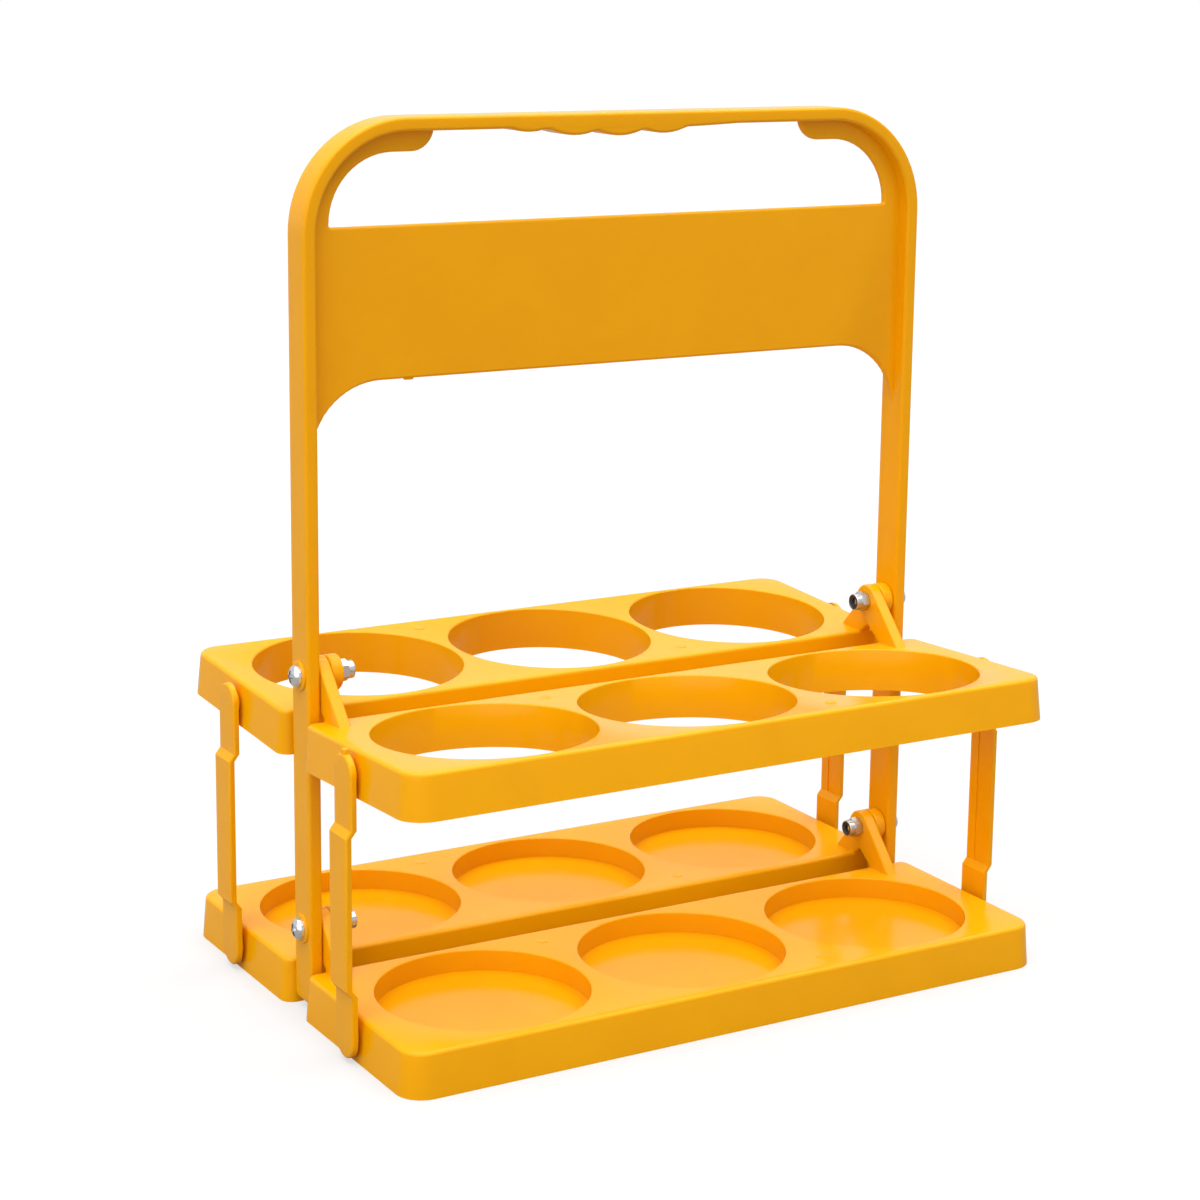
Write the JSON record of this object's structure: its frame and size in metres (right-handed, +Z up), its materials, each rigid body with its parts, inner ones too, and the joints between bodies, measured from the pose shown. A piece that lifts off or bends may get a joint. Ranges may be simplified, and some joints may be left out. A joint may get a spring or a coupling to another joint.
{
  "type": "foldable drink carrier",
  "caption": "Folding plastic carrier: a tall handle frame with hinged trays in two tiers, open rings above and shallow recesses below, tied by side links.",
  "frame": {"origin": "on the ground, in the middle of the footprint", "axes": "+Z up, +X along the rows of places, +Y across the carrier; the carrier looks the same after half a turn about Z"},
  "size_m": [0.2786, 0.1918, 0.3215],
  "materials": {
    "yellow_plastic": "glossy moulded polypropylene",
    "zinc_bolt": "bright zinc plating",
    "zinc_nut": "bright zinc plating",
    "nylon": "satin black nylon"
  },
  "bodies": {
    "frame": {"handle_frame": "yellow_plastic", "upper_left_bolt": "zinc_bolt", "upper_left_lock_nut": "zinc_nut", "upper_left_nut_insert": "nylon", "upper_right_bolt": "zinc_bolt", "upper_right_lock_nut": "zinc_nut", "upper_right_nut_insert": "nylon", "lower_left_bolt": "zinc_bolt", "lower_left_lock_nut": "zinc_nut", "lower_left_nut_insert": "nylon", "lower_right_bolt": "zinc_bolt", "lower_right_lock_nut": "zinc_nut", "lower_right_nut_insert": "nylon"},
    "upper_front": {"upper_front_tray": "yellow_plastic"},
    "upper_rear": {"upper_rear_tray": "yellow_plastic"},
    "lower_front": {"lower_front_tray": "yellow_plastic"},
    "lower_rear": {"lower_rear_tray": "yellow_plastic"},
    "front_left": {"front_left_link": "yellow_plastic"},
    "front_right": {"front_right_link": "yellow_plastic"},
    "rear_left": {"rear_left_link": "yellow_plastic"},
    "rear_right": {"rear_right_link": "yellow_plastic"}
  },
  "joints": [
    {"name": "front_fold", "type": "hinge", "parent": "frame", "child": "upper_front", "pos_m": [0, 0, 0.1253], "axis": [-1, 0, 0], "range_deg": [0, 87]},
    {"name": "lower_front_hinge", "type": "hinge", "parent": "frame", "child": "lower_front", "pos_m": [0, 0, 0.0309], "axis": [-1, 0, 0], "range_deg": [0, 87]},
    {"name": "front_left_stud", "type": "hinge", "parent": "upper_front", "child": "front_left", "pos_m": [0, -0.0509, 0.1035], "axis": [1, 0, 0], "range_deg": [0, 87]},
    {"name": "front_right_stud", "type": "hinge", "parent": "upper_front", "child": "front_right", "pos_m": [0, -0.0509, 0.1035], "axis": [1, 0, 0], "range_deg": [0, 87]},
    {"name": "rear_fold", "type": "hinge", "parent": "frame", "child": "upper_rear", "pos_m": [0, 0, 0.1253], "axis": [1, 0, 0], "range_deg": [0, 87]},
    {"name": "lower_rear_hinge", "type": "hinge", "parent": "frame", "child": "lower_rear", "pos_m": [0, 0, 0.0309], "axis": [1, 0, 0], "range_deg": [0, 87]},
    {"name": "rear_left_stud", "type": "hinge", "parent": "upper_rear", "child": "rear_left", "pos_m": [0, 0.0509, 0.1035], "axis": [-1, 0, 0], "range_deg": [0, 87]},
    {"name": "rear_right_stud", "type": "hinge", "parent": "upper_rear", "child": "rear_right", "pos_m": [0, 0.0509, 0.1035], "axis": [-1, 0, 0], "range_deg": [0, 87]}
  ],
  "couplings": [
    {"joint": "lower_front_hinge", "follows": "front_fold", "ratio": 1},
    {"joint": "front_left_stud", "follows": "front_fold", "ratio": 1},
    {"joint": "front_right_stud", "follows": "front_fold", "ratio": 1},
    {"joint": "lower_rear_hinge", "follows": "rear_fold", "ratio": 1},
    {"joint": "rear_left_stud", "follows": "rear_fold", "ratio": 1},
    {"joint": "rear_right_stud", "follows": "rear_fold", "ratio": 1}
  ]
}
